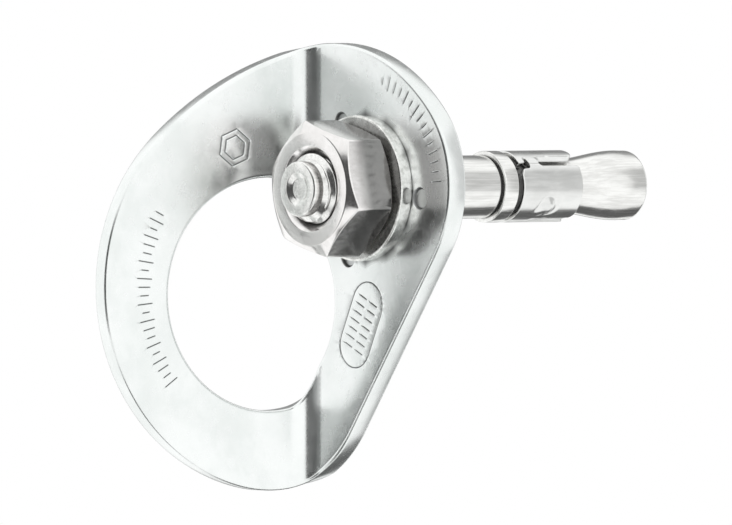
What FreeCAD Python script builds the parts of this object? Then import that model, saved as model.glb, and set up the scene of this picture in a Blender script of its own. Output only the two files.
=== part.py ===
import FreeCAD, Part
import math
import os

# Roof anchor: a bent stainless hanger plate clamped by a nut and washer on an M10 wedge expansion stud.
# Millimetres. The wall is the plane y = 0 and the stud runs into it along +Y. +Z is up.
# Origin: where the stud's axis meets the wall plane.

# Hanger plate, laid out as a flat blank in (s, z): s is x on the wall leg, and runs on round the bend.
PLATE = 3.1                     # thickness of the plate
BEND_ANGLE = 80.0               # degrees that the ring leg is folded out from the wall leg
BEND_RADIUS = 3.1               # inner radius of the fold
BEND_START = -10.1              # x where the wall leg's flat part ends
BOLT_HOLE_D = 10.5
SHOULDER_CENTRE = (-7.6, -9.9)  # long arc over the top of the plate
SHOULDER_R = 30.0
BROW_R = 50.0                   # flatter arc from there down to the ring
CORNER_CENTRE = (2.65, 0.35)    # round end of the wall leg, about the stud
CORNER_R = SHOULDER_R - math.dist(SHOULDER_CENTRE, CORNER_CENTRE)
EDGE_NORMAL_ANGLE = -36.3       # degrees: the way that the straight lower edge faces
RING_RADIUS = 28.75             # outside of the ring leg
RING_INSET = 0.8                # from the end of the fold to the ring's centre, along the ring leg
RING_Z = -13.7
HEEL_R = 20.0                   # rounding between the straight edge and the ring
EYE_RADIUS = 16.2               # the connector eye on the ring leg
EYE_INSET = 3.2
EYE_Z = -14.83
EYE_WALL_CENTRE = (-19.7, -16.0)  # the eye's inner end, on the wall leg
EYE_WALL_R = 12.8
DIMPLE_D = 3.1
DIMPLE_DEPTH = 0.9
DIMPLE_CIRCLE_R = 11.2
DIMPLE_ANGLES = (-2.5, 117.0, 243.5)
BEND_SECTIONS = 9               # sections that each strip of the fold is lofted through

# Washer and nut
SEAT_GAP = 0.02                 # running clearance between stacked faces
WASHER_D = 20.3
WASHER_THICKNESS = 2.0
WASHER_EDGE = 0.25
NUT_ACROSS_FLATS = 17.0
NUT_HEIGHT = 8.0
NUT_FACE_D = 16.5               # circle where the corner chamfer meets the face
NUT_CHAMFER_ANGLE = 30.0
NUT_COUNTERSINK_D = 12.0
NUT_TURN = 16.0                 # degrees that the flats are turned from level

# M10 x 1.5 thread, right-handed
PITCH = 1.5
THREAD_CREST_R = 4.95
THREAD_ROOT_R = 4.08
THREAD_ROOT_FLAT = 0.2
FLANK_ANGLE = 30.0
NUT_BORE_R = 4.2
NUT_THREAD_ROOT_R = 5.04
THREAD_CLEARANCE = 0.08         # along the axis, each side of the ridge
THREAD_START = -14.6            # where the groove's centre crosses the +x side
THREAD_OVERRUN = 0.3            # how far the cutting section stands past the crests
NUT_THREAD_TURNS = 8

# Stud, as stations along y
STUD_TIP = -15.4
STUD_END = 44.6
DOG_R = 3.85
DOG_LENGTH = 1.5
DOG_BEVEL = 0.25
TIP_DIMPLE_R = 2.3
TIP_DIMPLE_DEPTH = 0.45
THREAD_LEAD_IN = 1.0            # slope from the dog point up to the thread's crest
THREAD_END = 9.0
SHANK_R = 4.4
SHANK_SLOPE = 0.4               # from the thread's crest down to the shank
RELIEF_START = 17.7             # narrow groove before the collar
RELIEF_R = 4.1
RELIEF_SLOPE = 0.1
COLLAR_START = 18.3
COLLAR_END = 20.8
COLLAR_R = 5.0
COLLAR_EDGE = 0.2
NECK_R = 3.7
CONE_START = 32.7
CONE_STATIONS = ((35.8, 4.12), (37.6, 4.47), (39.4, 4.68), (41.2, 4.78), (43.2, 4.85))
CONE_END_ROUND = 1.3            # rounding of the inner end
CONE_ROUND_STEPS = 5

# Expansion clip: a rolled sleeve with three leaves that ride up the cone
CLIP_START = 21.7
CLIP_END = 32.5
CLIP_OUTER_R = 5.0
CLIP_INNER_R = 3.8
CLIP_EDGE = 0.15
LEAF_ROOT = 27.6                # y of the line about which the leaves spread
LEAF_ROOT_GAP = 0.05
LEAF_COUNT = 3
LEAF_SLOT = 0.45
LEAF_PHASE = 101.0              # degrees: the way that the first leaf faces, from +x towards +z
LEAF_BEVEL = 0.35
SEAM_WIDTH = 0.3                # split of the rolled sleeve, in line with one of the slots
SEAM_ANGLE = LEAF_PHASE - 180.0 / LEAF_COUNT
SEAM_LEAD = 0.7                 # straight stretch of the split before its tab
SEAM_TAB = 1.3                  # size of the interlocking tab

CUTTER = 200.0                  # size of a box that cuts a whole side away
PAST = 1.0                      # how far a cutter stands past the face that it cuts


def vec(x, y, z):
    """Point or direction in millimetres."""
    return FreeCAD.Vector(x, y, z)


def along_y(shape):
    """Turn a shape built along +Z so that it runs along +Y."""
    turned = shape.copy()
    turned.rotate(vec(0, 0, 0), vec(1, 0, 0), -90)
    return turned


def lathe(outline):
    """Solid of revolution about Z of a closed (radius, height) outline."""
    points = [vec(r, 0, h) for r, h in outline]
    face = Part.Face(Part.makePolygon(points + points[:1]))
    return face.revolve(vec(0, 0, 0), vec(0, 0, 1), 360)


def helical_groove(inner_r, outer_r, inner_half, outer_half, start, turns):
    """Trapezoid carried along a right-handed helix; the halves are half widths at each radius."""
    helix = Part.makeHelix(PITCH, PITCH * turns, inner_r)
    section = Part.makePolygon([
        vec(inner_r, 0, -inner_half),
        vec(outer_r, 0, -outer_half),
        vec(outer_r, 0, outer_half),
        vec(inner_r, 0, inner_half),
        vec(inner_r, 0, -inner_half),
    ])
    groove = Part.Wire(helix).makePipeShell([section], True, True)
    groove.translate(vec(0, 0, start))
    return groove


def flank_rise(depth):
    """How far a thread's flank moves along the axis over a radial depth."""
    return depth * math.tan(math.radians(FLANK_ANGLE))


# ---------------------------------------------------------------- hanger plate

def unit(degrees):
    """Unit direction in a plane, turned from its first axis towards its second."""
    return math.cos(math.radians(degrees)), math.sin(math.radians(degrees))


def offset_point(centre, direction, distance):
    """The point a distance from centre along a direction."""
    return centre[0] + direction[0] * distance, centre[1] + direction[1] * distance


def point_beyond(start, centre, distance):
    """The point a distance past centre on the line that starts at start."""
    span = math.dist(start, centre)
    way = ((centre[0] - start[0]) / span, (centre[1] - start[1]) / span)
    return offset_point(centre, way, distance)


def meet_of_circles(c1, r1, c2, r2, side):
    """The crossing of two circles on the chosen side of the line from c1 to c2."""
    dx, dy = c2[0] - c1[0], c2[1] - c1[1]
    gap = math.hypot(dx, dy)
    along = (r1 * r1 - r2 * r2 + gap * gap) / (2 * gap)
    across = side * math.sqrt(r1 * r1 - along * along)
    return (c1[0] + (along * dx - across * dy) / gap, c1[1] + (along * dy + across * dx) / gap)


def arc_edge(centre, radius, start, end):
    """Arc in the blank's plane from start to end, both on the circle, by its short way round."""
    first = math.atan2(start[1] - centre[1], start[0] - centre[0])
    last = math.atan2(end[1] - centre[1], end[0] - centre[0])
    turn = (last - first + math.pi) % (2 * math.pi) - math.pi
    middle = (centre[0] + radius * math.cos(first + turn / 2), centre[1] + radius * math.sin(first + turn / 2))
    points = [vec(p[0], 0, p[1]) for p in (start, middle, end)]
    return Part.Arc(*points).toShape()


def line_edge(start, end):
    """Straight edge in the blank's plane."""
    return Part.makeLine(vec(start[0], 0, start[1]), vec(end[0], 0, end[1]))


BEND_LENGTH = (BEND_RADIUS + PLATE / 2) * math.radians(BEND_ANGLE)
BEND_END = BEND_START - BEND_LENGTH


def blank_outline():
    """Closed outline of the flat blank, seen from outside the wall, from the ring round to the ring."""
    ring = (BEND_END - RING_INSET, RING_Z)
    # the brow touches the ring and the long top arc, both from outside
    brow = meet_of_circles(ring, BROW_R - RING_RADIUS, SHOULDER_CENTRE, BROW_R - SHOULDER_R, -1)
    ring_top = point_beyond(brow, ring, RING_RADIUS)
    shoulder_left = point_beyond(brow, SHOULDER_CENTRE, SHOULDER_R)
    # the round end touches the long top arc from inside
    corner_top = point_beyond(SHOULDER_CENTRE, CORNER_CENTRE, CORNER_R)
    facing = unit(EDGE_NORMAL_ANGLE)
    edge_top = offset_point(CORNER_CENTRE, facing, CORNER_R)
    # heel: touches the straight edge and the ring, both from inside
    along = (facing[1], -facing[0])
    reach = CORNER_R - HEEL_R
    base = offset_point(CORNER_CENTRE, facing, reach)
    to_ring = (ring[0] - base[0], ring[1] - base[1])
    slide = to_ring[0] * along[0] + to_ring[1] * along[1]
    across = to_ring[0] * facing[0] + to_ring[1] * facing[1]
    drop = math.sqrt((RING_RADIUS - HEEL_R) ** 2 - across ** 2)
    heel = max((offset_point(base, along, slide + sign * drop) for sign in (-1, 1)), key=lambda p: -p[1])
    edge_bottom = offset_point(heel, facing, HEEL_R)
    ring_bottom = point_beyond(ring, heel, HEEL_R)
    ring_left = (ring[0] - RING_RADIUS, ring[1])
    return Part.Wire([
        arc_edge(ring, RING_RADIUS, ring_left, ring_top),
        arc_edge(brow, BROW_R, ring_top, shoulder_left),
        arc_edge(SHOULDER_CENTRE, SHOULDER_R, shoulder_left, corner_top),
        arc_edge(CORNER_CENTRE, CORNER_R, corner_top, edge_top),
        line_edge(edge_top, edge_bottom),
        arc_edge(heel, HEEL_R, edge_bottom, ring_bottom),
        arc_edge(ring, RING_RADIUS, ring_bottom, ring_left),
    ])


def bezier_edge(start, start_way, end, end_way):
    """Cubic from start to end that leaves and arrives along the two directions."""
    reach = math.hypot(end[0] - start[0], end[1] - start[1]) / 3
    curve = Part.BezierCurve()
    poles = [start, offset_point(start, start_way, reach), offset_point(end, end_way, -reach), end]
    curve.setPoles([vec(p[0], 0, p[1]) for p in poles])
    return curve.toShape()


def eye_outline():
    """Closed outline of the connector eye in the flat blank, part on each leg."""
    eye = (BEND_END - EYE_INSET, EYE_Z)
    rise = math.sqrt(EYE_RADIUS ** 2 - EYE_INSET ** 2)
    top_left = (BEND_END, EYE_Z + rise)
    bottom_left = (BEND_END, EYE_Z - rise)
    reach = BEND_START - EYE_WALL_CENTRE[0]
    inner = math.sqrt(EYE_WALL_R ** 2 - reach ** 2)
    top_right = (BEND_START, EYE_WALL_CENTRE[1] + inner)
    bottom_right = (BEND_START, EYE_WALL_CENTRE[1] - inner)
    far_left = (eye[0] - EYE_RADIUS, EYE_Z)
    tangent_left = (rise / EYE_RADIUS, EYE_INSET / EYE_RADIUS)
    tangent_right = (inner / EYE_WALL_R, reach / EYE_WALL_R)
    return Part.Wire([
        arc_edge(eye, EYE_RADIUS, far_left, top_left),
        bezier_edge(top_left, (tangent_left[0], -tangent_left[1]), top_right, (tangent_right[0], -tangent_right[1])),
        arc_edge(EYE_WALL_CENTRE, EYE_WALL_R, top_right, bottom_right),
        bezier_edge(bottom_right, (-tangent_right[0], -tangent_right[1]), bottom_left,
                    (-tangent_left[0], -tangent_left[1])),
        arc_edge(eye, EYE_RADIUS, bottom_left, far_left),
    ])


def radial_section(s, low, high):
    """Rectangle through the plate's thickness at station s of the fold, between two heights."""
    turn = math.radians(BEND_ANGLE) * (BEND_START - s) / BEND_LENGTH
    corners = []
    for radius, z in ((BEND_RADIUS, low), (BEND_RADIUS + PLATE, low),
                      (BEND_RADIUS + PLATE, high), (BEND_RADIUS, high)):
        x = BEND_START - radius * math.sin(turn)
        y = -PLATE - BEND_RADIUS + radius * math.cos(turn)
        corners.append(vec(x, y, z))
    return Part.makePolygon(corners + corners[:1])


def fold_strips(blank):
    """The two curved strips, over and under the eye, that join the legs round the fold."""
    sections = ([], [])
    for i in range(BEND_SECTIONS):
        s = BEND_START - BEND_LENGTH * i / (BEND_SECTIONS - 1)
        upright = Part.makeLine(vec(s, 0, -CUTTER / 2), vec(s, 0, CUTTER / 2))
        pieces = sorted(upright.common(blank).Edges, key=lambda e: e.BoundBox.ZMin)
        for strip, piece in zip(sections, pieces):
            strip.append(radial_section(s, piece.BoundBox.ZMin, piece.BoundBox.ZMax))
    return [Part.makeLoft(strip, True, False) for strip in sections]


def fold_leg(leg):
    """Carry the ring leg from the flat blank to its place at the end of the fold."""
    turned = leg.copy()
    turned.translate(vec(-BEND_END, PLATE + BEND_RADIUS, 0))
    turned.rotate(vec(0, 0, 0), vec(0, 0, 1), BEND_ANGLE)
    turned.translate(vec(BEND_START, -PLATE - BEND_RADIUS, 0))
    return turned


def make_hanger():
    """The folded plate with its connector eye, bolt hole and three dimples."""
    blank = Part.Face(blank_outline()).cut(Part.Face(eye_outline()))
    slab = blank.extrude(vec(0, -PLATE, 0))
    half = CUTTER / 2
    wall_side = Part.makeBox(CUTTER, CUTTER, CUTTER, vec(BEND_START, -half, -half))
    ring_side = Part.makeBox(CUTTER, CUTTER, CUTTER, vec(BEND_END - CUTTER, -half, -half))
    wall_leg = slab.common(wall_side)
    ring_leg = fold_leg(slab.common(ring_side))
    hanger = wall_leg.multiFuse([ring_leg] + fold_strips(blank)).removeSplitter()
    hole = Part.makeCylinder(BOLT_HOLE_D / 2, PLATE + 2 * PAST, vec(0, PAST, 0), vec(0, -1, 0))
    hanger = hanger.cut(hole)
    for angle in DIMPLE_ANGLES:
        x, z = offset_point((0, 0), unit(angle), DIMPLE_CIRCLE_R)
        dimple = Part.makeCylinder(DIMPLE_D / 2, DIMPLE_DEPTH + PAST, vec(x, -PLATE - PAST, z), vec(0, 1, 0))
        hanger = hanger.cut(dimple)
    return hanger


# ---------------------------------------------------------------- fasteners

WASHER_BACK = -PLATE - SEAT_GAP
WASHER_FRONT = WASHER_BACK - WASHER_THICKNESS
NUT_BACK = WASHER_FRONT - SEAT_GAP
NUT_FRONT = NUT_BACK - NUT_HEIGHT


def make_washer():
    """Flat ring with its front outer edge bevelled."""
    outer = WASHER_D / 2
    inner = BOLT_HOLE_D / 2
    edge = WASHER_EDGE
    ring = lathe([
        (inner, WASHER_FRONT),
        (outer - edge, WASHER_FRONT),
        (outer, WASHER_FRONT + edge),
        (outer, WASHER_BACK),
        (inner, WASHER_BACK),
    ])
    return along_y(ring)


def make_nut():
    """Hexagon nut: both faces chamfered at the corners, a deep countersink in front, threaded bore."""
    corner = NUT_ACROSS_FLATS / math.sqrt(3)
    hexagon = [vec(*offset_point((0, 0), unit(NUT_TURN + 60 * i), corner), NUT_FRONT) for i in range(6)]
    body = Part.Face(Part.makePolygon(hexagon + hexagon[:1])).extrude(vec(0, 0, NUT_HEIGHT))
    face = NUT_FACE_D / 2
    rise = (corner + PAST - face) * math.tan(math.radians(NUT_CHAMFER_ANGLE))
    body = body.common(lathe([
        (0, NUT_FRONT),
        (face, NUT_FRONT),
        (corner + PAST, NUT_FRONT + rise),
        (corner + PAST, NUT_BACK - rise),
        (face, NUT_BACK),
        (0, NUT_BACK),
    ]))
    mouth = NUT_COUNTERSINK_D / 2
    depth = mouth - NUT_BORE_R
    bore = lathe([
        (0, NUT_FRONT - PAST),
        (mouth + PAST, NUT_FRONT - PAST),
        (NUT_BORE_R, NUT_FRONT + depth),
        (NUT_BORE_R, NUT_BACK - depth / 2),
        (mouth - depth / 2 + PAST, NUT_BACK + PAST),
        (0, NUT_BACK + PAST),
    ])
    body = body.cut(bore)
    crest_half = PITCH / 2 - THREAD_ROOT_FLAT / 2 - flank_rise(THREAD_CREST_R - THREAD_ROOT_R) + THREAD_CLEARANCE
    inner_r = NUT_BORE_R - THREAD_OVERRUN
    inner_half = crest_half + flank_rise(THREAD_CREST_R - inner_r)
    outer_half = crest_half - flank_rise(NUT_THREAD_ROOT_R - THREAD_CREST_R)
    start = THREAD_START + PITCH / 2
    groove = helical_groove(inner_r, NUT_THREAD_ROOT_R, inner_half, outer_half, start, NUT_THREAD_TURNS)
    body = body.cut(groove)
    return along_y(body)


def make_stud():
    """Turned bar: dog point, rolled thread, shank, relief, drill-hole collar, neck and cone."""
    thread_top = STUD_TIP + DOG_LENGTH
    neck_to_cone = [(NECK_R, COLLAR_END), (NECK_R, CONE_START)]
    cone = [(radius, y) for y, radius in CONE_STATIONS]
    last_r = CONE_STATIONS[-1][1]
    rounding = []
    for step in range(1, CONE_ROUND_STEPS + 1):
        angle = math.pi / 2 * step / CONE_ROUND_STEPS
        rounding.append((last_r - CONE_END_ROUND * (1 - math.cos(angle)),
                         STUD_END - CONE_END_ROUND * (1 - math.sin(angle))))
    blank = lathe([
        (0, STUD_TIP + TIP_DIMPLE_DEPTH),
        (TIP_DIMPLE_R - TIP_DIMPLE_DEPTH, STUD_TIP + TIP_DIMPLE_DEPTH),
        (TIP_DIMPLE_R, STUD_TIP),
        (DOG_R - DOG_BEVEL, STUD_TIP),
        (DOG_R, STUD_TIP + DOG_BEVEL),
        (DOG_R, thread_top),
        (THREAD_CREST_R, thread_top + THREAD_LEAD_IN),
        (THREAD_CREST_R, THREAD_END),
        (SHANK_R, THREAD_END + SHANK_SLOPE),
        (SHANK_R, RELIEF_START),
        (RELIEF_R, RELIEF_START + RELIEF_SLOPE),
        (RELIEF_R, COLLAR_START),
        (COLLAR_R - COLLAR_EDGE, COLLAR_START),
        (COLLAR_R, COLLAR_START + COLLAR_EDGE),
        (COLLAR_R, COLLAR_END - COLLAR_EDGE),
        (COLLAR_R - COLLAR_EDGE, COLLAR_END),
    ] + neck_to_cone + cone + rounding + [(0, STUD_END)])
    root_half = THREAD_ROOT_FLAT / 2
    outer_r = THREAD_CREST_R + THREAD_OVERRUN
    outer_half = root_half + flank_rise(outer_r - THREAD_ROOT_R)
    turns = (THREAD_END - THREAD_START - PITCH / 2) / PITCH
    groove = helical_groove(THREAD_ROOT_R, outer_r, root_half, outer_half, THREAD_START, turns)
    return along_y(blank.cut(groove))


# ---------------------------------------------------------------- expansion clip

def make_clip():
    """Rolled sleeve with its split closed by a small tab in a notch."""
    sleeve = lathe([
        (CLIP_INNER_R, CLIP_START),
        (CLIP_OUTER_R - CLIP_EDGE, CLIP_START),
        (CLIP_OUTER_R, CLIP_START + CLIP_EDGE),
        (CLIP_OUTER_R, LEAF_ROOT),
        (CLIP_INNER_R, LEAF_ROOT),
    ])
    radial = CLIP_INNER_R - PAST
    size = CLIP_OUTER_R
    tab_start = CLIP_START + SEAM_LEAD
    tab_end = tab_start + SEAM_TAB
    width = SEAM_WIDTH
    # the split runs along the sleeve, steps round the tab, and carries on to the slot
    boxes = [
        Part.makeBox(size, width, SEAM_LEAD + PAST, vec(radial, 0, CLIP_START - PAST)),
        Part.makeBox(size, SEAM_TAB + width, width, vec(radial, 0, tab_start)),
        Part.makeBox(size, width, SEAM_TAB, vec(radial, SEAM_TAB, tab_start)),
        Part.makeBox(size, SEAM_TAB + width, width, vec(radial, 0, tab_end - width)),
        Part.makeBox(size, width, LEAF_ROOT - tab_end + PAST, vec(radial, 0, tab_end - width)),
    ]
    split = boxes[0].multiFuse(boxes[1:])
    split.rotate(vec(0, 0, 0), vec(0, 0, 1), -SEAM_ANGLE)
    return along_y(sleeve.cut(split))


def make_leaf(index):
    """One third of the clip's open end, between two slots, with its tip bevelled outside."""
    root = LEAF_ROOT + LEAF_ROOT_GAP
    ring = lathe([
        (CLIP_INNER_R, root),
        (CLIP_OUTER_R, root),
        (CLIP_OUTER_R, CLIP_END - LEAF_BEVEL),
        (CLIP_OUTER_R - LEAF_BEVEL, CLIP_END),
        (CLIP_INNER_R, CLIP_END),
    ])
    sector = 360 / LEAF_COUNT
    facing = LEAF_PHASE + sector * index
    for side in (-1, 1):
        near = 0 if side < 0 else -CUTTER
        keep = Part.makeBox(CUTTER, CUTTER, CUTTER, vec(-CUTTER / 2, near, 0))
        keep.translate(vec(0, -side * LEAF_SLOT / 2, 0))
        keep.rotate(vec(0, 0, 0), vec(0, 0, 1), side * sector / 2)
        ring = ring.common(keep)
    ring.rotate(vec(0, 0, 0), vec(0, 0, 1), -facing)
    return along_y(ring)


def main():
    """Write one STEP file for each piece and print its size."""
    os.makedirs("parts", exist_ok=True)
    nodes = {
        "hanger": make_hanger(),
        "washer": make_washer(),
        "hex_nut": make_nut(),
        "stud": make_stud(),
        "clip_sleeve": make_clip(),
    }
    for index in range(LEAF_COUNT):
        nodes[f"clip_leaf_{index + 1}"] = make_leaf(index)
    for name, shape in nodes.items():
        shape.exportStep(f"parts/{name}.step")
        box = shape.BoundBox
        print(f"{name}: solids {len(shape.Solids)} valid {shape.isValid()} volume {shape.Volume:.1f} "
              f"x {box.XMin:.2f} {box.XMax:.2f} y {box.YMin:.2f} {box.YMax:.2f} z {box.ZMin:.2f} {box.ZMax:.2f}")


main()
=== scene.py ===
"""Roof anchor: a folded stainless hanger plate, clamped by a nut and washer on a wedge expansion stud.

Shapes are worked out in millimetres and put into meshes in metres. The wall is the plane y = 0, the stud runs
into it along +Y, and +Z is up. Angles round the stud run from +X towards -Z, so that a right-handed thread
climbs along +Y as its angle grows.
"""

import logging
import math
from collections.abc import Callable, Sequence
from dataclasses import dataclass, field
from enum import Enum

import bmesh
import bpy
import numpy as np
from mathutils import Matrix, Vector
from mathutils.geometry import delaunay_2d_cdt


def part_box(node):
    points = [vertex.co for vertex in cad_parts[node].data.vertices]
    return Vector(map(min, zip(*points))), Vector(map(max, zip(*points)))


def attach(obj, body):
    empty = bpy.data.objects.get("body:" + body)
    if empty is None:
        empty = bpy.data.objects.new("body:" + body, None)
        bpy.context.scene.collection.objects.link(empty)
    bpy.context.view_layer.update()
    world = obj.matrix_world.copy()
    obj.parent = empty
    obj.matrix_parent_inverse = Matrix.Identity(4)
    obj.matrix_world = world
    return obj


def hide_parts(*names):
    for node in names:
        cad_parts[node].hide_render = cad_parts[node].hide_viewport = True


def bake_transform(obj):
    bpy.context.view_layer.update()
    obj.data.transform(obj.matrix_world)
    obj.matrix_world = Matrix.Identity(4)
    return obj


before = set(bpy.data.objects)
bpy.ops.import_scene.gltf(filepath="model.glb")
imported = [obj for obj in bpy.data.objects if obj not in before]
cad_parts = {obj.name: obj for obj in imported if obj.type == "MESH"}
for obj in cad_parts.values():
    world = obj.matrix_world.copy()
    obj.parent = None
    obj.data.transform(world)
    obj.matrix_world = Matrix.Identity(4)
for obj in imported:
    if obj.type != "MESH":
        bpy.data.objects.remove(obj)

Array = np.ndarray
Colour = tuple[float, float, float]

MM = 0.001
FULL_TURN = 2 * math.pi
MERGE_DISTANCE = 1e-6  # metres
STRAIGHT = 0.9998  # cosine of the turn below which two sides count as one line
log = logging.getLogger("roof_anchor")


class Body(Enum):
    """Moving bodies of the anchor."""

    STUD = "stud"
    WASHER = "washer"
    NUT = "nut"
    HANGER = "hanger"
    CLIP = "clip"


class Slot(Enum):
    """Material slots of the anchor's pieces."""

    HANGER = "hanger_steel"
    WASHER = "washer_steel"
    NUT = "nut_steel"
    STUD = "stud_steel"
    CLIP = "clip_steel"


# ------------------------------------------------------------------ surfaces


def reach(node: str) -> tuple[Array, Array]:
    """Lowest and highest corner of a frame node, in millimetres.

    Args:
        node: the node's name.

    Returns:
        The two corners.
    """
    low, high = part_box(node)
    return np.array(low) / MM, np.array(high) / MM


def unit(degrees: float) -> Array:
    """Unit direction in a plane, turned from its first axis towards its second."""
    return np.array([math.cos(math.radians(degrees)), math.sin(math.radians(degrees))])


def eased(share: Array) -> Array:
    """Smooth step: 3t^2 - 2t^3, with t held between 0 and 1."""
    t = np.clip(share, 0, 1)
    return t * t * (3 - 2 * t)


def softened(x: Array, width: float) -> Array:
    """A ramp that is 0 below zero and x above it, with its corner eased over the width."""
    return (x + np.sqrt(x * x + width * width)) / 2


def rounded(path: Array, radii: Sequence[float], steps: int = 5) -> Array:
    """Closed paths with their corners rounded.

    A corner c, whose sides leave it along a and b, becomes the curve c + t a (1 - s)^2 + t b s^2. The
    arm t is the radius over the tangent of half the corner's angle, and at most 0.45 of the shorter side.

    Args:
        path: corners, shape (sections, corners, 2).
        radii: one radius for each corner, 0 where it stays sharp.
        steps: steps along each rounding.

    Returns:
        The new points, shape (sections, corners * (steps + 1), 2).
    """
    back = np.roll(path, 1, axis=1) - path
    onward = np.roll(path, -1, axis=1) - path
    back_length = np.linalg.norm(back, axis=2, keepdims=True)
    onward_length = np.linalg.norm(onward, axis=2, keepdims=True)
    a = back / back_length
    b = onward / onward_length
    half = np.arccos(np.clip((a * b).sum(axis=2, keepdims=True), -1, 1)) / 2
    arm = np.asarray(radii, float)[None, :, None] / np.tan(np.maximum(half, 0.05))
    arm = np.minimum(arm, 0.45 * np.minimum(back_length, onward_length))
    s = np.linspace(0, 1, steps + 1)[:, None]
    points = path[:, :, None] + (a * arm)[:, :, None] * (1 - s) ** 2 + (b * arm)[:, :, None] * s**2
    return points.reshape(len(path), -1, 2)


def grid_faces(rows: int, columns: int, first: int = 0) -> list[list[int]]:
    """Four-sided faces between the points of a grid, which are numbered row by row.

    Args:
        rows: rows of points.
        columns: points in a row.
        first: number of the first point.

    Returns:
        The faces, as point numbers.
    """
    number = first + np.arange(rows * columns).reshape(rows, columns)
    quads = np.stack([number[:-1, :-1], number[1:, :-1], number[1:, 1:], number[:-1, 1:]], axis=2)
    return quads.reshape(-1, 4).tolist()


def put_in_scene(name: str, data: bpy.types.ID) -> bpy.types.Object:
    """Make an object of a mesh, a light or a camera, and put it in the scene."""
    thing = bpy.data.objects.new(name, data)
    bpy.context.scene.collection.objects.link(thing)
    return thing


class Surface:
    """Points, faces and a value of painted shade and dirt for each point, gathered until they become one
    piece.
    """

    def __init__(self) -> None:
        """Start with nothing gathered."""
        self.points: list[Array] = []
        self.painted_shade_and_dirt: list[Array] = []
        self.faces: list[list[int]] = []
        self.count = 0

    def _keep(self, points: Array, painted_shade_and_dirt: Array | None) -> int:
        """Store points and return the number of the first one."""
        first = self.count
        self.points.append(points)
        self.painted_shade_and_dirt.append(np.zeros(len(points)) if painted_shade_and_dirt is None else painted_shade_and_dirt)
        self.count += len(points)
        return first

    def add_grid(self, grid: Array, painted_shade_and_dirt: Array | None = None) -> None:
        """Add a grid of points as four-sided faces; edges that meet are merged later.

        Args:
            grid: points, shape (rows, columns, 3).
            painted_shade_and_dirt: painted shade and dirt for each point, shape (rows, columns).
        """
        first = self._keep(grid.reshape(-1, 3), None if painted_shade_and_dirt is None else painted_shade_and_dirt.reshape(-1))
        self.faces += grid_faces(*grid.shape[:2], first)

    def add_triangles(self, points: Array, triangles: Array, painted_shade_and_dirt: Array) -> None:
        """Add loose triangles.

        Args:
            points: shape (n, 3).
            triangles: shape (m, 3), numbers into the points.
            painted_shade_and_dirt: painted shade and dirt for each point.
        """
        first = self._keep(points, painted_shade_and_dirt)
        self.faces += (triangles + first).tolist()

    def make(self, name: str, crease: float) -> bpy.types.Object:
        """Merge what meets, turn the faces outwards and make the piece.

        Args:
            name: the piece's name.
            crease: degrees between two faces past which their edge stays sharp.

        Returns:
            The new object, at the origin.
        """
        mesh = bpy.data.meshes.new(name)
        mesh.from_pydata(np.concatenate(self.points) * MM, [], self.faces)
        # Each point's painted shade and dirt, which the material uses to darken its colour.
        mesh.attributes.new("painted_shade_and_dirt", "FLOAT", "POINT").data.foreach_set("value", np.concatenate(self.painted_shade_and_dirt))
        work = bmesh.new()
        work.from_mesh(mesh)
        bmesh.ops.remove_doubles(work, verts=work.verts, dist=MERGE_DISTANCE)
        bmesh.ops.dissolve_degenerate(work, edges=work.edges, dist=MERGE_DISTANCE / 4)
        if work.calc_volume(signed=True) < 0:
            bmesh.ops.reverse_faces(work, faces=work.faces)
        work.to_mesh(mesh)
        work.free()
        mesh.shade_smooth()
        mesh.set_sharp_from_angle(angle=math.radians(crease))
        return put_in_scene(name, mesh)


def spun(radius: Array, y: Array, angle: Array) -> Array:
    """Points round the stud's axis: (r cos t, y, -r sin t) at the angle t in radians."""
    return np.stack([radius * np.cos(angle), y, -radius * np.sin(angle)], axis=-1)


def turned(path: Array, angles: Array) -> Array:
    """Points of a path of (radius, y) carried round the stud's axis.

    Args:
        path: shape (sections or 1, points, 2).
        angles: the angle of each section, in radians.

    Returns:
        Points, shape (sections, points, 3).
    """
    path = np.broadcast_to(path, (len(angles), *path.shape[1:]))
    return spun(path[..., 0], path[..., 1], angles[:, None])


def whole_turn(sections: int) -> Array:
    """Angles of a full turn, with both its ends."""
    return np.linspace(0, FULL_TURN, sections + 1)


# ------------------------------------------------------------------ thread


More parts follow.
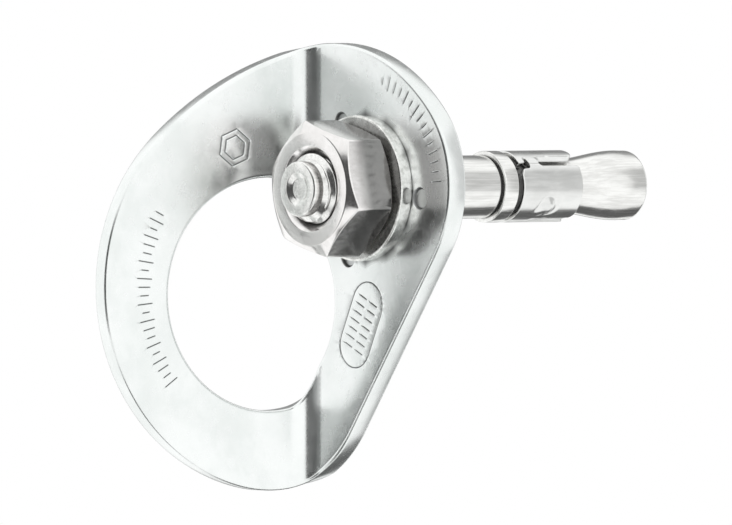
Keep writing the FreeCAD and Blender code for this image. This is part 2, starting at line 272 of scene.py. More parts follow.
@dataclass(frozen=True)
class Thread:
    """Right-handed M10 x 1.5 thread. Its grooves are V-shaped, with small flats at root and crest."""

    pitch: float = 1.5
    crest: float = 4.95
    root: float = 4.08
    root_half: float = 0.1
    flank: float = math.tan(math.radians(30))
    start: float = -14.6
    easing: float = 0.06
    ridge_half: float = 0.18
    side_rows: tuple[float, ...] = (0, 0.07, 0.13, 0.2, 0.31, 0.42, 0.52, 0.58, 0.63, 0.68)

    def rows(self, low: float, high: float) -> Array:
        """Heights of the rows that run along the helix, at angle 0, closer at the flats than on the flanks.

        Args:
            low: y where the threaded stretch begins.
            high: y where it ends.

        Returns:
            Heights that reach a whole pitch past both ends.
        """
        side = np.array(self.side_rows)
        one = np.concatenate([side, self.pitch - side[:0:-1], [self.pitch / 2]])
        first = math.floor((low - self.start) / self.pitch) - 1
        last = math.ceil((high - self.start) / self.pitch) + 1
        turns = np.arange(first, last)[:, None]
        return np.sort((self.start + self.pitch * turns + one).ravel())

    def off_centre(self, angle: Array, y: Array) -> Array:
        """Distance along the axis from a point to the nearest centre of the groove."""
        along = y - self.start - self.pitch * angle / FULL_TURN
        return np.abs((along + self.pitch / 2) % self.pitch - self.pitch / 2)

    def outside(self, angle: Array, y: Array) -> Array:
        """Radius of the stud's thread: root + the flank's rise, eased into the root and the crest."""
        rise = (self.off_centre(angle, y) - self.root_half) / self.flank
        deep = self.crest - self.root
        return self.root + softened(rise, self.easing) - softened(rise - deep, self.easing)

    def inside(self, angle: Array, y: Array, bore: float, root: float) -> Array:
        """Radius of the nut's thread: its groove follows the stud's ridge.

        Args:
            angle: radians.
            y: heights.
            bore: radius of the nut's bore.
            root: outer radius of the nut's groove.

        Returns:
            The radii.
        """
        from_ridge = self.pitch / 2 - self.off_centre(angle, y)
        fall = (from_ridge - self.ridge_half) / self.flank
        return root - softened(fall, self.easing) + softened(fall - (root - bore), self.easing)

    def helical(self, low: float, high: float, sections: int) -> tuple[Array, Array]:
        """Grid of angles and heights whose rows follow the helix between two heights.

        Args:
            low: lowest y.
            high: highest y.
            sections: steps round a full turn.

        Returns:
            Angles and heights, both of shape (sections + 1, rows).
        """
        angle, row = np.meshgrid(whole_turn(sections), self.rows(low, high), indexing="ij")
        return angle, np.clip(row + self.pitch * angle / FULL_TURN, low, high)


# ------------------------------------------------------------------ sheet metal


@dataclass
class Loop:
    """Closed line that bounds a sheet, with the material on its left.

    Each side of it starts at one point, and has its own rounding where the sheet's face meets its rim.
    """

    points: Array
    rounding: Array

    def divided(self, spacing: float) -> "Loop":
        """The same line with its long sides divided.

        Args:
            spacing: longest side that is left.

        Returns:
            A loop with more points.
        """
        onward = np.roll(self.points, -1, axis=0) - self.points
        parts = np.maximum(1, np.ceil(np.linalg.norm(onward, axis=1) / spacing - 1e-6)).astype(int)
        side = np.repeat(np.arange(len(parts)), parts)
        step = np.arange(len(side)) - np.repeat(np.cumsum(parts) - parts, parts)
        points = self.points[side] + onward[side] * (step / parts[side])[:, None]
        return Loop(points, self.rounding[side])

    def inset(self, share: float) -> Array:
        """Points moved into the material, so that each side moves by that share of its rounding.

        The move v has v.n = share * rounding for the inward normals n of both sides that meet at a point.

        Args:
            share: 0 to 1.

        Returns:
            The moved points.
        """
        onward = np.roll(self.points, -1, axis=0) - self.points
        onward /= np.linalg.norm(onward, axis=1, keepdims=True)
        n2 = np.stack([-onward[:, 1], onward[:, 0]], axis=1)
        n1 = np.roll(n2, 1, axis=0)
        e2 = self.rounding[:, None] * share
        e1 = np.roll(e2, 1, axis=0)
        cosine = (n1 * n2).sum(axis=1, keepdims=True)
        straight = cosine > STRAIGHT
        sine2 = np.where(straight, 1, 1 - cosine**2)
        mitred = (e1 * (n1 - n2 * cosine) + e2 * (n2 - n1 * cosine)) / sine2
        return self.points + np.where(straight, (e1 + e2) / 2 * n2, mitred)

    def corner_rounding(self) -> Array:
        """The larger rounding of the two sides that meet at each point."""
        return np.maximum(self.rounding, np.roll(self.rounding, 1))


def joined(parts: Sequence[tuple[Array, float]]) -> Loop:
    """One loop from stretches of points that follow each other.

    Args:
        parts: each stretch with the rounding of the sides that start in it.

    Returns:
        The loop.
    """
    points = np.concatenate([np.atleast_2d(p) for p, _ in parts])
    rounding = np.concatenate([np.full(len(np.atleast_2d(p)), r) for p, r in parts])
    return Loop(points, rounding)


def inside_lines(points: Array, lines: Sequence[Array]) -> Array:
    """Whether each point is inside the closed lines, by counting the sides that it stands to the left of.

    Args:
        points: shape (n, 2).
        lines: closed lines, holes among them.

    Returns:
        True for the points inside.
    """
    crossings = np.zeros(len(points), int)
    for line in lines:
        a = line[None]
        b = np.roll(line, -1, axis=0)[None]
        x, z = points[:, 0, None], points[:, 1, None]
        spans = (a[..., 1] > z) != (b[..., 1] > z)
        rise = np.where(b[..., 1] == a[..., 1], 1, b[..., 1] - a[..., 1])
        cross = a[..., 0] + (z - a[..., 1]) / rise * (b[..., 0] - a[..., 0])
        crossings += (spans & (x < cross)).sum(axis=1)
    return crossings % 2 == 1


def lattice(low: Sequence[float], high: Sequence[float], steps: Sequence[float]) -> Array:
    """Staggered grid of points between two corners.

    Args:
        low: lowest corner.
        high: highest corner.
        steps: spacing along each axis.

    Returns:
        Points, shape (n, 2).
    """
    u = np.arange(low[0], high[0], steps[0])
    v = np.arange(low[1], high[1], steps[1])
    grid = np.stack(np.meshgrid(u, v, indexing="ij"), axis=2)
    grid[::2, :, 1] += steps[1] / 2
    return grid.reshape(-1, 2)


@dataclass
class Sheet:
    """Cut and formed sheet metal, closed all round, with rounded rims.

    It is laid out flat, and place() then carries flat points and their depth below the front face to where
    they are on the formed piece.
    """

    loops: list[Loop]
    thickness: float
    place: Callable[[Array, Array], Array]
    relief: Callable[[Array], Array]
    # Painted shade and dirt at flat points of the front face.
    painted_shade_and_dirt_at: Callable[[Array], Array]
    clearance: float
    guard: float = 0.3
    steps: int = 5

    def _face(self, surface: Surface, points: Array, front: bool) -> None:
        """Fill the front or the back face inside its inset loops with triangles.

        Args:
            surface: where the triangles go.
            points: flat points to use inside the face.
            front: True for the front face.
        """
        lines = [loop.inset(1 + self.guard) for loop in self.loops]
        rim = np.concatenate(lines)
        away = np.sqrt(((points[:, None] - rim[None]) ** 2).sum(axis=2)).min(axis=1)
        kept = points[inside_lines(points, lines) & (away > self.clearance)]
        edges = []
        first = 0
        for line in lines:
            number = first + np.arange(len(line))
            edges += np.stack([number, np.roll(number, -1)], axis=1).tolist()
            first += len(line)
        flat = [Vector(p) for p in np.concatenate([rim, kept]).tolist()]
        vertices, _, faces, *_ = delaunay_2d_cdt(flat, edges, [], 1, 1e-5)
        where = np.array([(v.x, v.y) for v in vertices])
        triangles = np.array(faces)
        triangles = triangles[~inside_lines(where[triangles].mean(axis=1), lines[1:])]
        if front:
            surface.add_triangles(self.place(where, self.relief(where)), triangles, self.painted_shade_and_dirt_at(where))
        else:
            depth = np.full(len(where), self.thickness)
            surface.add_triangles(self.place(where, depth), triangles[:, ::-1], np.zeros(len(where)))

    def _rims(self, surface: Surface) -> None:
        """Carry the rim's section round every loop: a quarter round, the straight wall, a quarter round.

        At angle a the quarter round is inset by e (1 - sin a) and e (1 - cos a) deep, for a rounding e. A
        narrow flat strip lies inside each rounding, which keeps the face beside it flat.
        """
        for loop in self.loops:
            e = loop.corner_rounding()
            quarter = np.linspace(0, math.pi / 2, self.steps)
            section = [(1 + self.guard, 0.0), *((1 - math.sin(a), 1 - math.cos(a)) for a in quarter)]
            rows = []
            for share, drop in section:
                flat = loop.inset(share)
                rows.append(self.place(flat, e * drop + self.relief(flat)))
            for share, drop in section[::-1]:
                rows.append(self.place(loop.inset(share), self.thickness - e * drop))
            grid = np.stack([np.concatenate([row, row[:1]]) for row in rows], axis=1)
            surface.add_grid(grid[::-1])

    def gather(self, front: Array, back: Array) -> Surface:
        """The whole closed surface.

        Args:
            front: flat points inside the front face.
            back: flat points inside the back face.

        Returns:
            The surface.
        """
        surface = Surface()
        self._face(surface, front, True)
        self._face(surface, back, False)
        self._rims(surface)
        return surface


# ------------------------------------------------------------------ shader maths


class Varying:
    """A number that varies over a surface: an output of a shader node, with arithmetic."""

    def __init__(self, graph: "Graph", socket: bpy.types.NodeSocket) -> None:
        """Wrap a socket of a graph."""
        self.graph = graph
        self.socket = socket

    def _math(self, operation: str, *values: "Varying | float") -> "Varying":
        """Add a Math node.

        Args:
            operation: the node's operation.
            values: its inputs in order.

        Returns:
            Its result.
        """
        inputs = dict(enumerate(values))
        return self.graph.value("ShaderNodeMath", {"operation": operation}, inputs)

    def __add__(self, other: "Varying | float") -> "Varying":
        """Sum."""
        return self._math("ADD", self, other)

    __radd__ = __add__

    def __sub__(self, other: "Varying | float") -> "Varying":
        """Difference."""
        return self._math("SUBTRACT", self, other)

    def __rsub__(self, other: "Varying | float") -> "Varying":
        """Difference the other way round."""
        return self._math("SUBTRACT", other, self)

    def __mul__(self, other: "Varying | float") -> "Varying":
        """Product."""
        return self._math("MULTIPLY", self, other)

    __rmul__ = __mul__

    def __truediv__(self, other: "Varying | float") -> "Varying":
        """Quotient."""
        return self._math("DIVIDE", self, other)

    def root(self) -> "Varying":
        """Square root."""
        return self._math("SQRT", self)

    def band(self, low: float, high: float) -> "Varying":
        """0 up to low, 1 from high, eased between; the other way round where high is below low."""
        settings = {"interpolation_type": "SMOOTHSTEP"}
        if high > low:
            return self.graph.value("ShaderNodeMapRange", settings, {0: self, 1: low, 2: high})
        return 1 - self.graph.value("ShaderNodeMapRange", settings, {0: self, 1: high, 2: low})


class Graph:
    """The nodes of one material or world."""

    def __init__(self, tree: bpy.types.NodeTree) -> None:
        """Start with an empty tree."""
        self.tree = tree
        tree.nodes.clear()

    def node(self, kind: str, settings: dict | None = None, inputs: dict | None = None) -> bpy.types.Node:
        """Add a node, its settings first.

        Args:
            kind: the node's type.
            settings: its own properties.
            inputs: for each socket, by name or number, a Varying or a socket to link, or a plain value.

        Returns:
            The node.
        """
        node = self.tree.nodes.new(kind)
        for name, setting in (settings or {}).items():
            setattr(node, name, setting)
        for key, given in (inputs or {}).items():
            socket = given.socket if isinstance(given, Varying) else given
            if isinstance(socket, bpy.types.NodeSocket):
                self.tree.links.new(socket, node.inputs[key])
            else:
                node.inputs[key].default_value = socket
        return node

    def value(self, kind: str, settings: dict | None = None, inputs: dict | None = None) -> Varying:
        """Add a node and take its first output as a number."""
        return Varying(self, self.node(kind, settings, inputs).outputs[0])

    def mixed(self, share: Varying, a: Colour | bpy.types.NodeSocket, b: Colour) -> bpy.types.NodeSocket:
        """A colour that goes from a to b.

        Args:
            share: 0 for a, 1 for b.
            a: a colour, or a socket that gives one.
            b: a colour.

        Returns:
            The mixed colour's socket.
        """
        first = a if isinstance(a, bpy.types.NodeSocket) else (*a, 1)
        inputs = {0: share, 6: first, 7: (*b, 1)}
        return self.node("ShaderNodeMix", {"data_type": "RGBA"}, inputs).outputs[2]

    def noise(self, coordinates: bpy.types.NodeSocket, size: Sequence[float], detail: float = 3) -> Varying:
        """Noise whose features have the given size in millimetres along each axis.

        Args:
            coordinates: object coordinates, in metres.
            size: size along x, y and z.
            detail: octaves.

        Returns:
            A number from 0 to 1.
        """
        scale = tuple(1 / (s * MM) for s in size)
        mapping = self.node("ShaderNodeMapping", {}, {"Vector": coordinates, "Scale": scale})
        inputs = {"Vector": mapping.outputs[0], "Scale": 1.0, "Detail": detail}
        return self.value("ShaderNodeTexNoise", {}, inputs)


def new_material(name: str) -> tuple[bpy.types.Material, Graph]:
    """Make a material and the empty graph of its nodes."""
    material = bpy.data.materials.new(name)
    material.use_nodes = True
    return material, Graph(material.node_tree)


@dataclass(frozen=True)
class SteelFinish:
    """Bare stainless steel with clouds of tone, streaks and fine grain, darkened by painted shade and some
    dirt where each point's value says.

    Sizes and depths are in millimetres. A band is the pair of values between which something fades in, and
    painted_reflection is a stretch (start, end, share) along y where a darker reflection is painted into the
    colour.
    """

    name: str
    light: Colour
    dark: Colour
    cloud: Sequence[float]
    streak: Sequence[float]
    streak_share: float
    roughness: tuple[float, float]
    grain: float
    grain_depth: float
    wave: float = 4.0
    wave_depth: float = 0.002
    speckle: float = 0.0
    # Colour of the painted shade and of the dirt in engraved marks, the value at which they are full, and
    # their added grain bump.
    painted_shade_and_dirt: Colour = (0.03, 0.03, 0.032)
    recess_depth: float = 0.12
    dirt_and_shade_depth: float = 0.012
    # A darker reflection painted along y, and its colour.
    painted_reflection: tuple[float, float, float] = (0.0, 1.0, 0.0)
    painted_reflection_colour: Colour = (0.05, 0.048, 0.046)
    tone_band: tuple[float, float] = (0.36, 0.64)
    sparkle_band: tuple[float, float] = (0.56, 0.7)
    streak_band: tuple[float, float] = (0.3, 0.7)
    # How painted shade and dirt fade in, how far they darken, and the roughness they add.
    dirt_and_shade_band: tuple[float, float] = (0.15, 1.0)
    dirt_and_shade_share: float = 0.85
    dirt_and_shade_roughness: float = 0.3

    def material(self) -> bpy.types.Material:
        """Build the material."""
        material, graph = new_material(self.name)
        coordinates = graph.node("ShaderNodeTexCoord").outputs["Object"]
        cloud = graph.noise(coordinates, self.cloud, 4)
        streak = graph.noise(coordinates, self.streak, 5)
        grain = graph.noise(coordinates, (self.grain,) * 3, 2)
        tone = cloud * (1 - self.streak_share) + streak * self.streak_share
        sparkle = grain.band(*self.sparkle_band) * self.speckle
        colour = graph.mixed(tone.band(*self.tone_band), self.dark, self.light)
        # Painted shade and dirt: each point's stored value mixes the colour towards their dark colour.
        depth = Varying(graph, graph.node("ShaderNodeAttribute", {"attribute_name": "painted_shade_and_dirt"}).outputs["Fac"])
        dirt_and_shade = (depth / self.recess_depth).band(*self.dirt_and_shade_band) * self.dirt_and_shade_share
        # A darker reflection painted into the colour along y, patchy with the tone.
        start, end, share = self.painted_reflection
        along = Varying(graph, graph.node("ShaderNodeSeparateXYZ", {}, {0: coordinates}).outputs[1])
        painted_reflection_share = along.band(start * MM, end * MM) * (tone * 0.6 + 0.7) * share
        painted_reflection = graph.mixed(painted_reflection_share, colour, self.painted_reflection_colour)
        with_painted_shade = graph.mixed(dirt_and_shade, painted_reflection, self.painted_shade_and_dirt)
        low, high = self.roughness
        wave = graph.noise(coordinates, (self.wave,) * 3, 1)
        height = wave * self.wave_depth + grain * (dirt_and_shade * self.dirt_and_shade_depth + self.grain_depth)
        height = height + streak * self.grain_depth
        bump = graph.node("ShaderNodeBump", {}, {"Strength": 1.0, "Distance": MM, "Height": height})
        rough = streak.band(*self.streak_band) * (high - low) + low + dirt_and_shade * self.dirt_and_shade_roughness - sparkle
        shader = graph.node(
            "ShaderNodeBsdfPrincipled",
            {},
            {"Base Color": with_painted_shade, "Metallic": 1.0, "Roughness": rough, "Normal": bump.outputs[0]},
        )
        graph.node("ShaderNodeOutputMaterial", {}, {"Surface": shader.outputs[0]})
        return material


def fit(piece: bpy.types.Object, finish: SteelFinish, slot: Slot, *nodes: str) -> None:
    """Dress a piece and let it stand for its frame nodes.

    Args:
        piece: the piece.
        finish: its steel.
        slot: not used.
        nodes: the frame nodes that it stands for.
    """
    material = bpy.data.materials.get(finish.name) or finish.material()
    piece.data.materials.append(material)
    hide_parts(*nodes)
    log.info("%s: %d points, %d faces", piece.name, len(piece.data.vertices), len(piece.data.polygons))


# ------------------------------------------------------------------ hanger plate


def arc(centre: Array, radius: float, start: Array, end: Array, step: float = 0.4) -> Array:
    """Points of the shorter arc from start towards end, without its last point.

    Args:
        centre: the arc's centre.
        radius: its radius.
        start: where it starts.
        end: where it ends.
        step: longest distance between two points.

    Returns:
        Points, shape (n, 2).
    """
    first = math.atan2(*(start - centre)[::-1])
    last = math.atan2(*(end - centre)[::-1])
    turn = (last - first + math.pi) % FULL_TURN - math.pi
    count = max(2, math.ceil(abs(turn) * radius / step))
    angle = first + turn * np.arange(count) / count
    return centre + radius * np.stack([np.cos(angle), np.sin(angle)], axis=1)


def circle(centre: Array, radius: float, count: int) -> Array:
    """Points of a circle that runs clockwise, as a hole's edge does."""
    angle = -FULL_TURN * np.arange(count) / count
    return centre + radius * np.stack([np.cos(angle), np.sin(angle)], axis=1)


def bezier(start: Array, start_way: Array, end: Array, end_way: Array, count: int = 20) -> Array:
    """Cubic from start towards end, without its last point, that leaves and arrives along two directions."""
    arm = np.linalg.norm(end - start) / 3
    t = (np.arange(count) / count)[:, None]
    poles = (start, start + start_way * arm, end - end_way * arm, end)
    weights = ((1 - t) ** 3, 3 * t * (1 - t) ** 2, 3 * t * t * (1 - t), t**3)
    return sum(w * p for w, p in zip(weights, poles))


def beyond(start: Array, centre: Array, distance: float) -> Array:
    """The point a distance past centre on the line that starts at start."""
    way = centre - start
    return centre + way / np.linalg.norm(way) * distance


def meeting(c1: Array, r1: float, c2: Array, r2: float, side: int) -> Array:
    """The crossing of two circles on the chosen side of the line from c1 to c2."""
    way = c2 - c1
    gap = np.linalg.norm(way)
    along = (r1 * r1 - r2 * r2 + gap * gap) / (2 * gap)
    across = side * math.sqrt(r1 * r1 - along * along)
    return c1 + (along * way + across * np.array([-way[1], way[0]])) / gap


@dataclass
class Marking:
    """Shallow engraved strokes, as lines of points in the flat layout."""

    width: float = 0.3
    depth: float = 0.12
    strokes: list[Array] = field(default_factory=list)

    def add_line(self, *points: Array) -> None:
        """Add a stroke through the points."""
        self.strokes.append(np.array(points, float))

    def add_ticks(self, centre: Array, radius: float, angles: Array, heights: Array) -> None:
        """Add radial ticks on a circle.

        Args:
            centre: the circle's centre.
            radius: its radius, at the middle of the ticks.
            angles: degrees, one for each tick.
            heights: length of each tick.
        """
        for angle, height in zip(angles, heights):
            way = unit(angle)
            self.add_line(centre + way * (radius - height / 2), centre + way * (radius + height / 2))

    def _segments(self) -> tuple[Array, Array]:
        """Starts and ends of all straight pieces."""
        starts = np.concatenate([s[:-1] for s in self.strokes])
        ends = np.concatenate([s[1:] for s in self.strokes])
        return starts, ends

    def points(self, spacing: float = 0.2) -> Array:
        """Points across and along every stroke, for the mesh to follow it."""
        starts, ends = self._segments()
        found = []
        for a, b in zip(starts, ends):
            way = b - a
            length = np.linalg.norm(way)
            way = way / length
            side = np.array([-way[1], way[0]])
            along = np.linspace(-self.width / 2, length + self.width / 2, max(3, round(length / spacing) + 3))
            across = np.array([-0.62, -0.42, -0.2, 0, 0.2, 0.42, 0.62]) * self.width
            u, v = np.meshgrid(along, across)
            found.append(a + u.reshape(-1, 1) * way + v.reshape(-1, 1) * side)
        return np.concatenate(found)

    def depth_at(self, points: Array) -> Array:
        """Depth of the strokes: depth (1 - t^2)^2 at t half widths from the nearest stroke."""
        starts, ends = self._segments()
        way = ends - starts
        offset = points[:, None] - starts[None]
        share = np.clip((offset * way).sum(axis=2) / (way**2).sum(axis=1), 0, 1)
        gap = np.linalg.norm(offset - share[..., None] * way, axis=2).min(axis=1)
        t = np.minimum(gap / (self.width / 2), 1)
        return self.depth * (1 - t * t) ** 2


@dataclass
class HangerPlate:
    """One stamped plate, folded once, with a connector eye, a bolt hole and three small dimples.

    It is laid out flat as (s, z): s is x on the wall leg and runs on round the fold into the ring leg.
    """

    thickness: float = 3.1
    fold_angle: float = math.radians(80)
    fold_radius: float = 3.1
    fold_start: float = -10.1
    rim: float = 0.5
    hole_radius: float = 5.25
    hole_rim: float = 0.25
    shoulder: tuple[float, float] = (-7.6, -9.9)
    shoulder_radius: float = 30.0
    brow_radius: float = 50.0
    corner: tuple[float, float] = (2.65, 0.35)
    edge_facing: float = -36.3
    ring_radius: float = 28.75
    ring_inset: float = 0.8
    ring_z: float = -13.7
    heel_radius: float = 20.0
    eye_radius: float = 16.2
    eye_inset: float = 3.2
    eye_z: float = -14.83
    eye_wall: tuple[float, float] = (-19.7, -16.0)
    eye_wall_radius: float = 12.8
    dimple_radius: float = 1.55
    dimple_depth: float = 0.5
    dimple_lip: float = 1.03
    dimple_wall: float = 0.2
    # Painted shade on the dimples' bottoms and round their walls.
    dimple_painted_shade: float = 0.06
    dimple_wall_painted_shade: float = 0.1
    dimple_rows: tuple[float, ...] = (1.14, 1.07, 1.02, 0.97, 0.92, 0.87, 0.82, 0.77, 0.6, 0.4, 0.2)
    dimples: tuple[tuple[float, float], ...] = ((11.7, -1.3), (-5.2, 9.0), (-3.7, -9.5))
    # Outer radius of the painted shadow round the washer.
    washer_shadow_radius: float = 10.9
    # Where a dark reflection is painted across the fold, and how dark.
    fold_reflection_span: tuple[float, float] = (-9.35, -13.2)
    fold_reflection_darkness: float = 0.062
    worn_width: float = 2.4
    worn_depth: float = 0.15
    worn_top: float = -3.0
    worn_fade: float = 9.0
    # Darkness and fade of the painted shadow round the washer.
    washer_shadow_darkness: float = 0.1
    washer_shadow_fade: float = 0.7
    # Fade of the painted fold reflection at its ends.
    fold_reflection_fade: float = 0.25
    finish: SteelFinish = SteelFinish(
        name="tumbled_stainless",
        light=(0.9, 0.915, 0.91),
        dark=(0.8, 0.825, 0.815),
        cloud=(9, 9, 9),
        streak=(1.2, 1.2, 1.6),
        streak_share=0.25,
        roughness=(0.22, 0.28),
        grain=0.12,
        grain_depth=0.0012,
        wave=6.0,
        wave_depth=0.003,
    )
    marking: Marking = field(default_factory=Marking)

    def __post_init__(self) -> None:
        """Work out the fold's end, the ring's centre and the radius of the corner over the stud."""
        self.fold_end = self.fold_start - (self.fold_radius + self.thickness / 2) * self.fold_angle
        self.ring = np.array([self.fold_end - self.ring_inset, self.ring_z])
        self.corner_radius = self.shoulder_radius - math.dist(self.shoulder, self.corner)

    def outline(self) -> Loop:
        """Outer edge of the flat plate: arcs that touch each other, and one straight edge."""
        ring, shoulder, corner = self.ring, np.array(self.shoulder), np.array(self.corner)
        brow = meeting(
            ring, self.brow_radius - self.ring_radius, shoulder, self.brow_radius - self.shoulder_radius, -1
        )
        ring_top = beyond(brow, ring, self.ring_radius)
        shoulder_left = beyond(brow, shoulder, self.shoulder_radius)
        corner_top = beyond(shoulder, corner, self.corner_radius)
        facing = unit(self.edge_facing)
        edge_top = corner + facing * self.corner_radius
        along = np.array([facing[1], -facing[0]])
        base = corner + facing * (self.corner_radius - self.heel_radius)
        slide = (ring - base) @ along
        across = (ring - base) @ facing
        drop = math.sqrt((self.ring_radius - self.heel_radius) ** 2 - across**2)
        heel = min((base + along * (slide + sign * drop) for sign in (-1, 1)), key=lambda p: p[1])
        edge_bottom = heel + facing * self.heel_radius
        ring_bottom = beyond(ring, heel, self.heel_radius)
        ring_left = ring - np.array([self.ring_radius, 0])
        clockwise = np.concatenate([
            arc(ring, self.ring_radius, ring_left, ring_top),
            arc(brow, self.brow_radius, ring_top, shoulder_left),
            arc(shoulder, self.shoulder_radius, shoulder_left, corner_top),
            arc(corner, self.corner_radius, corner_top, edge_top),
            edge_top[None],
            arc(heel, self.heel_radius, edge_bottom, ring_bottom),
            arc(ring, self.ring_radius, ring_bottom, ring_left),
        ])
        return Loop(clockwise[::-1], np.full(len(clockwise), self.rim)).divided(0.5)

    def eye(self) -> Loop:
        """Edge of the connector eye: an arc on each leg, joined by a smooth line across the fold."""
        centre = np.array([self.fold_end - self.eye_inset, self.eye_z])
        wall = np.array(self.eye_wall)
        rise = math.sqrt(self.eye_radius**2 - self.eye_inset**2)
        step = self.fold_start - wall[0]
        inner = math.sqrt(self.eye_wall_radius**2 - step**2)
        top_left = np.array([self.fold_end, self.eye_z + rise])
        bottom_left = np.array([self.fold_end, self.eye_z - rise])
        top_right = np.array([self.fold_start, wall[1] + inner])
        bottom_right = np.array([self.fold_start, wall[1] - inner])
        far_left = centre - np.array([self.eye_radius, 0])
        left_way = np.array([rise, -self.eye_inset]) / self.eye_radius
        right_way = np.array([inner, -step]) / self.eye_wall_radius
        mirror = np.array([-1, 1])
        points = np.concatenate([
            arc(centre, self.eye_radius, far_left, top_left),
            bezier(top_left, left_way, top_right, right_way),
            arc(wall, self.eye_wall_radius, top_right, bottom_right),
            bezier(bottom_right, right_way * mirror, bottom_left, left_way * mirror),
            arc(centre, self.eye_radius, bottom_left, far_left),
        ])
        return Loop(points, np.full(len(points), self.rim))

    def place(self, flat: Array, depth: Array) -> Array:
        """Carry flat points round the fold.

        On the fold, a point at depth d turns through (fold start - s) / (mid radius) about the fold's axis,
        at the radius r + d. Past the fold it runs straight on.

        Args:
            flat: points (s, z).
            depth: depth below the front face.

        Returns:
            Points, shape (n, 3).
        """
        s = flat[:, 0]
        turn = np.clip((self.fold_start - s) / (self.fold_start - self.fold_end), 0, 1) * self.fold_angle
        radius = self.fold_radius + depth
        wall = np.maximum(s - self.fold_start, 0)
        past = np.maximum(self.fold_end - s, 0)
        x = self.fold_start + wall - radius * np.sin(turn) - past * math.cos(self.fold_angle)
        y = -self.thickness - self.fold_radius + radius * np.cos(turn) - past * math.sin(self.fold_angle)
        return np.stack([x, y, flat[:, 1]], axis=1)

    def _from_dimple(self, flat: Array) -> Array:
        """Distance from the middle of the nearest dimple, over the dimples' radius."""
        away = flat[:, None] - np.array(self.dimples)
        return np.linalg.norm(away, axis=2).min(axis=1) / self.dimple_radius

    def relief(self, flat: Array) -> Array:
        """Depth of the dimples, the marks and the worn slope along the lower edge.

        A dimple has a flat bottom, and its wall is eased over a fifth of its radius. The slope eases off from
        the straight edge inwards, and fades out towards the stud's height.
        """
        facing = unit(self.edge_facing)
        to_edge = self.corner_radius - (flat - np.array(self.corner)) @ facing
        worn = eased(1 - to_edge / self.worn_width) * eased((self.worn_top - flat[:, 1]) / self.worn_fade)
        deep = self.marking.depth_at(flat) + self.worn_depth * worn
        bowl = self.dimple_depth * eased((self.dimple_lip - self._from_dimple(flat)) / self.dimple_wall)
        return np.maximum(deep, bowl)

    def painted_shade_and_dirt_at(self, flat: Array) -> Array:
        """Dirt and painted shade in the engraved marks, painted shade in the dimples, a painted shadow round
        the washer, and a dark reflection painted along the fold.
        """
        radius = np.linalg.norm(flat, axis=1)
        # A painted shadow in a ring round the washer.
        bearing = self.washer_shadow_darkness * eased((self.washer_shadow_radius - radius) / self.washer_shadow_fade)
        # The engraved marks get dirt and painted shade as deep as they are cut.
        dirt_and_shade = np.maximum(self.marking.depth_at(flat), bearing)
        # A dark reflection painted along the start of the fold.
        start, end = self.fold_reflection_span
        inward = np.clip((start - flat[:, 0]) / self.fold_reflection_fade, 0, 1)
        fold_reflection = inward * np.clip((flat[:, 0] - end) / self.fold_reflection_fade, 0, 1)
        dirt_and_shade = np.maximum(dirt_and_shade, self.fold_reflection_darkness * fold_reflection)
        # Painted shade on the dimples' bottoms, darker round their walls.
        t = self._from_dimple(flat)
        bottom = self.dimple_painted_shade * (t < 0.88)
        wall = self.dimple_wall_painted_shade * eased(1 - np.abs(t - 0.93) / 0.14)
        return np.maximum(dirt_and_shade, bottom + wall)

    def engrave(self) -> None:
        """Lay out the generic marks: two arcs of ticks, a plain hexagon in another, and a hatched frame."""
        heights = np.array([2.3, 1.3, 1.8, 2.3, 1.1])
        ring_angles = 180 - np.linspace(-36, 27, 22)
        self.marking.add_ticks(self.ring, 22.5, ring_angles, np.resize(heights, len(ring_angles)))
        wall_angles = np.linspace(76, 4, 15)
        wall_heights = np.resize(heights[::-1] * 0.85, len(wall_angles))
        self.marking.add_ticks(np.zeros(2), 15.3, wall_angles, wall_heights)
        centre = np.array([self.fold_end - 8.9, 5.6])
        for size in (2.6, 1.7):
            self.marking.add_line(*(centre + unit(22 + 60 * corner) * size for corner in range(7)))
        self._hatched_frame(centre=np.array([-0.95, -19.0]), length=12.6, width=6.4, tilt=64.4)

    def _hatched_frame(self, centre: Array, length: float, width: float, tilt: float) -> None:
        """Add a round-ended frame with short strokes in it.

        Args:
            centre: its middle.
            length: whole length.
            width: whole width.
            tilt: degrees of its long axis from level.
        """
        along, across = unit(tilt), unit(tilt + 90)
        half = (length - width) / 2
        ends = []
        for sign in (1, -1):
            for angle in np.linspace(90, -90, 13):
                forward, sideways = unit(angle) * width / 2
                ends.append(centre + sign * (along * (half + forward) + across * sideways))
        self.marking.add_line(*ends, ends[0])
        hatched = half + 0.6
        stroke = across * 0.75
        for row in (-1, 1):
            for place in np.linspace(-hatched, hatched, 7):
                base = centre + along * place + across * row * width * 0.19
                self.marking.add_line(base - stroke, base + stroke)

